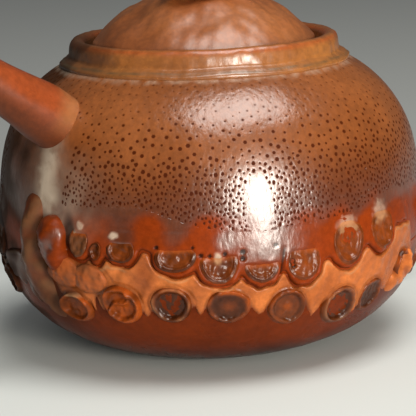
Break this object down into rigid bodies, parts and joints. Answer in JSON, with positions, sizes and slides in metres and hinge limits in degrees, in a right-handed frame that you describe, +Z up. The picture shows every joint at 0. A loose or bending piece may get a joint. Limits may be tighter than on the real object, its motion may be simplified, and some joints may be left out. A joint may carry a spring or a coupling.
{
  "type": "clay teapot",
  "caption": "Hand-built wood-fired clay teapot shaped as a resting octopus, with a pricked body, sucker-covered arms round its base, straight spout, loop handle and lift-off lid.",
  "frame": {"origin": "middle of the flat base, on the surface the pot stands on", "axes": "+Z up, spout towards -X, handle towards +X"},
  "size_m": [0.1381, 0.1022, 0.0925],
  "materials": {
    "bowl_clay": "burnished, darkened by smoke",
    "mantle_clay": "burnished, pricked with a needle tool",
    "spout_clay": "burnished, flashed orange by the flame",
    "arm_clay": "burnished, flashed orange by the flame",
    "sucker_clay": "burnished dark clay with pale ash specks",
    "lid_clay": "burnished"
  },
  "bodies": {
    "pot": {"base_slab": "bowl_clay", "bowl_wall": "bowl_clay", "mantle": "mantle_clay", "neck_ring": "mantle_clay", "spout": "spout_clay", "spout_strainer": "mantle_clay", "handle": "spout_clay", "upper_arm_front": "arm_clay", "upper_arm_right": "arm_clay", "upper_arm_back": "arm_clay", "upper_arm_left": "arm_clay", "lower_arm_front": "arm_clay", "lower_arm_right": "arm_clay", "lower_arm_back": "arm_clay", "lower_arm_left": "arm_clay", "upper_suckers_front": "sucker_clay", "upper_suckers_right": "sucker_clay", "upper_suckers_back": "sucker_clay", "upper_suckers_left": "sucker_clay", "lower_suckers_front": "sucker_clay", "lower_suckers_right": "sucker_clay", "lower_suckers_back": "sucker_clay", "lower_suckers_left": "sucker_clay"},
    "lid": {"lid_dome": "lid_clay", "lid_flange": "lid_clay", "knob": "lid_clay"}
  },
  "joints": [
    {"name": "lid_lift", "type": "slide", "parent": "pot", "child": "lid", "axis": [0, 0, 1], "range_m": [0, 0.04]}
  ]
}
